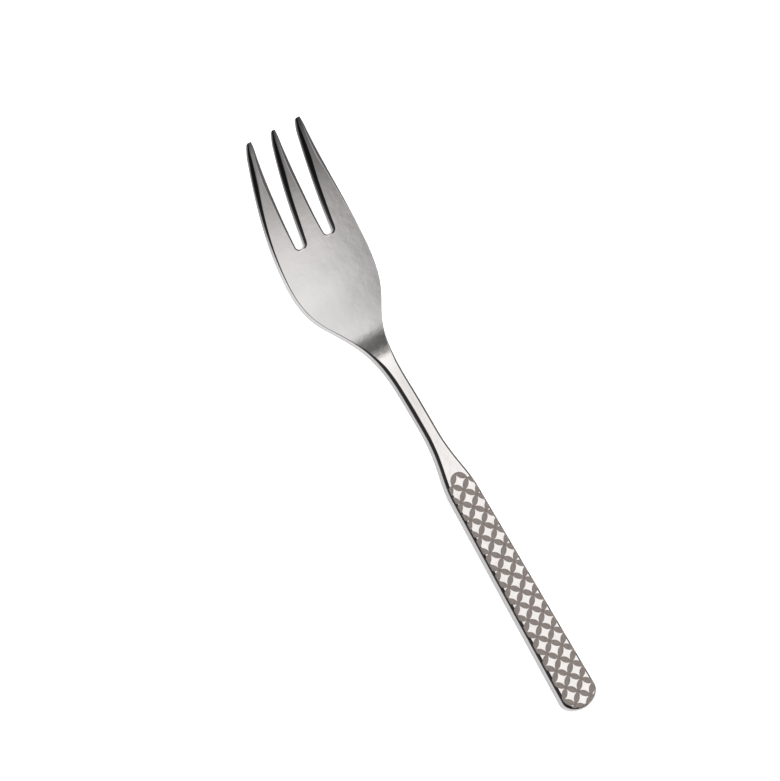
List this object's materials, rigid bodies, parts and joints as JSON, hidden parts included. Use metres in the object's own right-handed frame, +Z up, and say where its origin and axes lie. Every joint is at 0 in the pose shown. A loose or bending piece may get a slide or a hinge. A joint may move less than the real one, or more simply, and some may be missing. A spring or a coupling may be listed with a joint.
{
  "type": "pastry fork",
  "caption": "Small one-piece steel fork with three slim tines, a shallow spade-shaped bowl, a narrow neck and a flat tapered handle with a matte petal lattice on its front.",
  "frame": {"origin": "on the table, under the middle of the fork's length and width", "axes": "+X from the handle end to the tine tips, +Y across to the fork's left seen from the handle, +Z up out of the front of the fork as it lies on its back"},
  "size_m": [0.144, 0.022, 0.0147],
  "materials": {
    "steel": "polished handle and neck, satin bowl and tines",
    "marking": "matte brown-grey etched layer"
  },
  "bodies": {
    "root": {"fork_body": "steel", "petal_marking": "marking"}
  },
  "joints": []
}
